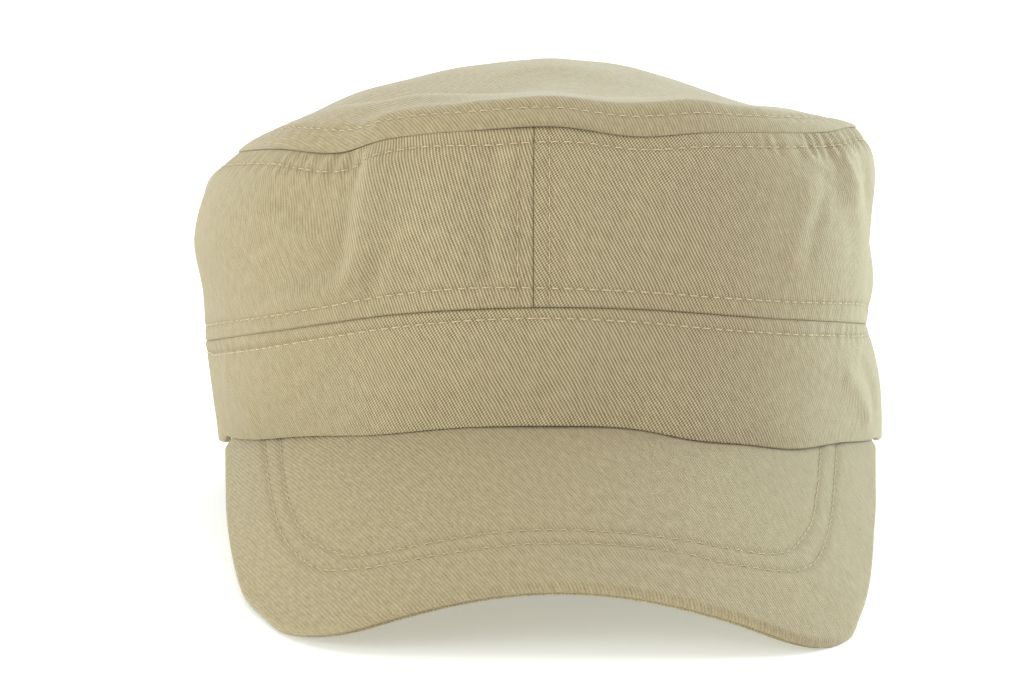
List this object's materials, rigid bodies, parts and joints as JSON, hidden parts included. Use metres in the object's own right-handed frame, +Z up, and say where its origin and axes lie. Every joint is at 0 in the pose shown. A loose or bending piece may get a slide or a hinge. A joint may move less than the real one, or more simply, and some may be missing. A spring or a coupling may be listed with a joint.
{
  "type": "cadet cap",
  "caption": "Plain twill cadet cap with a curved peak, a tall band, seamed crown sides and a domed oval top panel.",
  "frame": {"origin": "middle of the cap's bounding box in plan, on the floor that it rests on", "axes": "+Z up, -Y towards the front of the peak, +X towards the wearer's left"},
  "size_m": [0.1744, 0.2458, 0.1097],
  "materials": {
    "twill": "matt khaki cotton twill",
    "under_twill": "matt khaki cotton twill, under the peak",
    "thread": "sewing thread, a little lighter than the cloth"
  },
  "bodies": {
    "root": {"band": "twill", "crown_left": "twill", "crown_right": "twill", "crown_top": "twill", "peak_upper": "twill", "peak_under": "under_twill"}
  },
  "joints": []
}
